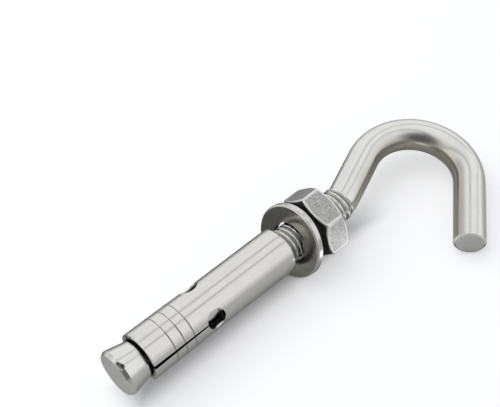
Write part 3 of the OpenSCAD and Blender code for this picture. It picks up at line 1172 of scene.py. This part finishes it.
def floor_patch(tree, where, x, y, squeeze, inner, outer):
    """One in an oval patch of the floor, fading out towards its edge."""
    inputs = {"Vector": where, "Scale": (squeeze, 1, 1), "Location": (-x * squeeze * MM, -y * MM, 0)}
    patch = add_node(tree, "ShaderNodeMapping", inputs)
    off = add_node(tree, "ShaderNodeVectorMath", {0: patch.outputs["Vector"]}, operation="LENGTH")
    return mapped(tree, off.outputs["Value"], inner * MM, outer * MM, 1.0, 0.0, smooth=True)


def out_of_shade(tree, where, bolt_y):
    """One on the open floor, fading out in the strip under the bolt, where the missing lift paints shade.
    """
    x, y, _ = axes(tree, where)
    off = sum_node(tree, "ABSOLUTE", sum_node(tree, "SUBTRACT", y, bolt_y))
    clear = mapped(tree, off, 0.0, SHADE_HALF * MM, smooth=True)
    for start, end in SHADE_ENDS:
        past = mapped(tree, x, start * MM, end * MM, smooth=True)
        clear = sum_node(tree, "MAXIMUM", clear, past)
    return clear


def floor_paint(stage, bolt_y):
    """A white floor that keeps its shadows, lifted for the camera except in a strip of painted shade under
    the bolt, with painted tones in reflections: darker overall, a painted dark patch, and a painted pool of
    light that glows.
    """
    paint = bpy.data.materials.new("white_floor")
    paint.use_nodes = True
    tree = paint.node_tree
    shader = tree.nodes["Principled BSDF"]
    shader.inputs["Roughness"].default_value = 0.35
    shader.inputs["Specular IOR Level"].default_value = 0.2
    path = tree.nodes.new("ShaderNodeLightPath")
    in_mirror = path.outputs["Is Glossy Ray"]
    where = tree.nodes.new("ShaderNodeTexCoord").outputs["Object"]
    patches = [floor_patch(tree, where, *place) for *place, _ in FLOOR_PATCHES]
    mirrored = (*stage.below, 1)
    for near, (*_, tone) in zip(patches, FLOOR_PATCHES):
        mirrored = blended(tree, near, mirrored, (tone, tone, tone, 1))
    feed(tree, shader.inputs["Base Color"], blended(tree, in_mirror, (*stage.floor, 1), mirrored))
    # The lift for the camera, left out in the strip of painted shade under the bolt
    lift = sum_node(tree, "MULTIPLY", out_of_shade(tree, where, bolt_y), stage.lift)
    lift = sum_node(tree, "MULTIPLY", lift, path.outputs["Is Camera Ray"])
    # Painted pool of light: the bright patch glows for reflections
    pool_glow = sum_node(tree, "MULTIPLY", sum_node(tree, "MULTIPLY", patches[0], in_mirror), BRIGHT_GLOW)
    glow = add_node(tree, "ShaderNodeEmission", {"Strength": sum_node(tree, "ADD", lift, pool_glow)})
    inputs = {0: shader.outputs["BSDF"], 1: glow.outputs["Emission"]}
    both = add_node(tree, "ShaderNodeAddShader", inputs)
    feed(tree, tree.nodes["Material Output"].inputs["Surface"], both.outputs["Shader"])
    return paint


def tent_patch(tree, direction, around, up, inner, outer, level):
    """A factor for one patch of the tent: its level in the middle, one outside."""
    around, up = math.radians(around), math.radians(up)
    flat = math.cos(up)
    middle = (flat * math.cos(around), flat * math.sin(around), math.sin(up))
    toward = add_node(tree, "ShaderNodeVectorMath", {0: direction, 1: middle}, operation="DOT_PRODUCT")
    edge, core = (math.cos(math.radians(a)) for a in (outer, inner))
    return mapped(tree, toward.outputs["Value"], edge, core, 1.0, level, smooth=True)


def tent_level(tree):
    """What the steel reflects: a white tent with dim patches and soft seams."""
    where = tree.nodes.new("ShaderNodeTexCoord").outputs["Generated"]
    _, y, z = axes(tree, where)
    across = sum_node(tree, "ARCTAN2", z, y)
    level = 1.0
    for patch in TENT_PATCHES:
        level = sum_node(tree, "MULTIPLY", level, tent_patch(tree, where, *patch))
    for degrees, width in TENT_SEAMS:
        off = sum_node(tree, "ABSOLUTE", sum_node(tree, "SUBTRACT", across, math.radians(degrees)))
        seam = mapped(tree, off, 0.0, math.radians(width), SEAM_LEVEL, 1.0, smooth=True)
        level = sum_node(tree, "MULTIPLY", level, seam)
    return level


def room(stage):
    """The room: soft light all round, and a white tent that only reflections see."""
    world = bpy.data.worlds.new("studio_room")
    bpy.context.scene.world = world
    world.use_nodes = True
    tree = world.node_tree
    soft = tree.nodes["Background"]
    soft.inputs["Color"].default_value = (*stage.sky, 1)
    soft.inputs["Strength"].default_value = stage.room_light
    path = tree.nodes.new("ShaderNodeLightPath")
    level = sum_node(tree, "MAXIMUM", tent_level(tree), path.outputs["Is Camera Ray"])
    tent = add_node(tree, "ShaderNodeBackground", {"Strength": level})
    inputs = {"Fac": backdrop_rays(tree), 1: soft.outputs["Background"], 2: tent.outputs["Background"]}
    blend = add_node(tree, "ShaderNodeMixShader", inputs)
    feed(tree, tree.nodes["World Output"].inputs["Surface"], blend.outputs["Shader"])


def add_lamp(stage):
    """A square soft box, aimed at the anchor, that doesn't show in reflections."""
    lamp = bpy.data.lights.new("key_box", "AREA")
    lamp.shape = "SQUARE"
    lamp.size = stage.lamp_size
    lamp.energy = stage.lamp_power
    holder = bpy.data.objects.new("key_box", lamp)
    bpy.context.scene.collection.objects.link(holder)
    holder.location = stage.lamp_at
    holder.rotation_euler = (-Vector(stage.lamp_at)).to_track_quat("-Z", "Y").to_euler()
    holder.visible_glossy = False


def add_camera(stage, bolt):
    """The camera at its place, seen from the bolt."""
    camera = bpy.data.cameras.new("camera")
    camera.lens = stage.focal * camera.sensor_width
    camera.clip_start = 0.01
    holder = bpy.data.objects.new("camera", camera)
    bpy.context.scene.collection.objects.link(holder)
    turn = Euler(stage.camera_turn).to_matrix().to_4x4()
    holder.matrix_world = bolt @ Matrix.Translation(stage.camera_at) @ turn
    bpy.context.scene.camera = holder


class ANCHOR_OT_stage(bpy.types.Operator):
    """Set the floor, the light and the camera"""

    bl_idname = "anchor.stage"
    bl_label = "Stage"

    def execute(self, context):
        settings = context.scene.hook_anchor
        stage = settings.stage
        context.scene.view_settings.view_transform = "Standard"
        bolt = bolt_place(settings.nut)
        corners = [(x * FLOOR_HALF, y * FLOOR_HALF, 0) for x, y in ((-1, -1), (1, -1), (1, 1), (-1, 1))]
        floor = new_piece("floor", corners, [[0, 1, 2, 3]])
        floor.data.materials.append(floor_paint(stage, bolt.translation.y))
        room(stage)
        add_lamp(stage)
        add_camera(stage, bolt)
        return {"FINISHED"}


class ANCHOR_PT_panel(bpy.types.Panel):
    """Lists the anchor's pieces in the sidebar"""

    bl_idname = "ANCHOR_PT_panel"
    bl_label = "Hook wall anchor"
    bl_space_type = "VIEW_3D"
    bl_region_type = "UI"
    bl_category = "Anchor"

    def draw(self, context):
        settings = context.scene.hook_anchor
        for operator, group in (
            ("anchor.hook_bolt", settings.bolt),
            ("anchor.sleeve", settings.sleeve),
            ("anchor.washer", settings.washer),
            ("anchor.nut", settings.nut),
            ("anchor.stage", settings.stage),
        ):
            box = self.layout.box()
            box.operator(operator)
            for label in group.__annotations__:
                box.prop(group, label)
        for label in settings.steel.__annotations__:
            self.layout.prop(settings.steel, label)


CLASSES = (
    BoltSizes,
    SleeveSizes,
    WasherSizes,
    NutSizes,
    SteelFinish,
    StageLook,
    AnchorSettings,
    ANCHOR_OT_hook_bolt,
    ANCHOR_OT_sleeve,
    ANCHOR_OT_washer,
    ANCHOR_OT_nut,
    ANCHOR_OT_stage,
    ANCHOR_PT_panel,
)


def register():
    """Registers the settings, the operators and the panel."""
    for cls in CLASSES:
        bpy.utils.register_class(cls)
    bpy.types.Scene.hook_anchor = bpy.props.PointerProperty(type=AnchorSettings)


def unregister():
    """Takes the settings, the operators and the panel away again."""
    del bpy.types.Scene.hook_anchor
    for cls in reversed(CLASSES):
        bpy.utils.unregister_class(cls)


def main():
    """Builds the stage and the pieces."""
    register()
    bpy.ops.anchor.stage()
    bpy.ops.anchor.hook_bolt()
    bpy.ops.anchor.sleeve()
    bpy.ops.anchor.washer()
    bpy.ops.anchor.nut()


if __name__ == "__main__":
    main()
